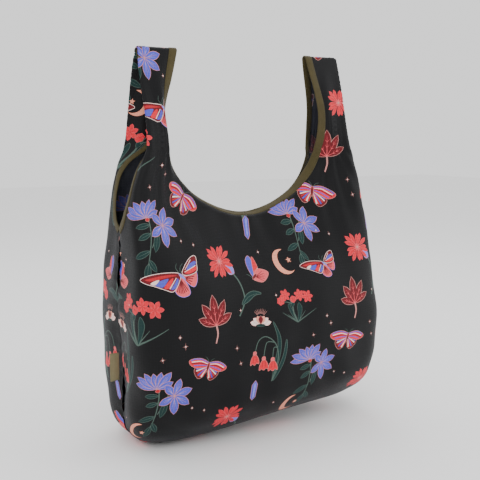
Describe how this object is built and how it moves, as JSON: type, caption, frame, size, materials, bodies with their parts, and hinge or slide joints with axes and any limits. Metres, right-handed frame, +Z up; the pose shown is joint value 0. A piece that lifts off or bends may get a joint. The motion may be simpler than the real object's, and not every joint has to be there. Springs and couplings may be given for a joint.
{
  "type": "foldable tote bag",
  "caption": "Foldable shopping tote of printed ripstop nylon with a deep round neck, bound armholes and two strap handles that swing at their feet.",
  "frame": {"origin": "middle of the flat base, on the bottom seam", "axes": "+Z up towards the handle tops, +X to the right seen from the front, the printed front faces -Y"},
  "size_m": [0.4462, 0.2166, 0.6001],
  "materials": {
    "ripstop_nylon": "black woven nylon with a fine square rib grid, a soft sheen and a scattered flower and butterfly print",
    "olive_binding": "matt olive ribbed binding tape",
    "seam_tape": "dark woven seam tape"
  },
  "bodies": {
    "bag_body": {"front_panel_left": "ripstop_nylon", "front_panel": "ripstop_nylon", "front_panel_right": "ripstop_nylon", "front_base_left": "ripstop_nylon", "front_base": "ripstop_nylon", "front_base_right": "ripstop_nylon", "back_panel_left": "ripstop_nylon", "back_panel": "ripstop_nylon", "back_panel_right": "ripstop_nylon", "back_base_left": "ripstop_nylon", "back_base": "ripstop_nylon", "back_base_right": "ripstop_nylon", "bottom_seam": "ripstop_nylon", "front_neck_binding": "olive_binding", "back_neck_binding": "olive_binding", "left_armhole_binding": "olive_binding", "right_armhole_binding": "olive_binding", "left_side_seam_tape": "seam_tape", "right_side_seam_tape": "seam_tape", "bottom_seam_tape": "seam_tape"},
    "left_handle": {"left_handle_front_strap": "ripstop_nylon", "left_handle_back_strap": "ripstop_nylon", "left_handle_front_neck_binding": "olive_binding", "left_handle_back_neck_binding": "olive_binding", "left_handle_front_armhole_binding": "olive_binding", "left_handle_back_armhole_binding": "olive_binding", "left_handle_top_seam": "seam_tape"},
    "right_handle": {"right_handle_front_strap": "ripstop_nylon", "right_handle_back_strap": "ripstop_nylon", "right_handle_front_neck_binding": "olive_binding", "right_handle_back_neck_binding": "olive_binding", "right_handle_front_armhole_binding": "olive_binding", "right_handle_back_armhole_binding": "olive_binding", "right_handle_top_seam": "seam_tape"},
    "label": {"side_label": "olive_binding"},
    "stow_pouch": {"stow_pouch_front": "ripstop_nylon", "stow_pouch_back": "ripstop_nylon", "stow_pouch_binding": "olive_binding"}
  },
  "joints": [
    {"name": "left_handle_swing", "type": "hinge", "parent": "bag_body", "child": "left_handle", "pos_m": [-0.15, 0, 0.4], "axis": [0, 1, 0], "range_deg": [-35, 30]},
    {"name": "right_handle_swing", "type": "hinge", "parent": "bag_body", "child": "right_handle", "pos_m": [0.15, 0, 0.4], "axis": [0, 1, 0], "range_deg": [-30, 35]},
    {"name": "label_flip", "type": "hinge", "parent": "bag_body", "child": "label", "pos_m": [-0.2161, 0, 0.125], "axis": [0, 0, 1], "range_deg": [-70, 70]},
    {"name": "stow_pouch_swing", "type": "hinge", "parent": "bag_body", "child": "stow_pouch", "pos_m": [-0.2075, 0, 0.14], "axis": [0, 0, 1], "range_deg": [-20, 20]}
  ]
}
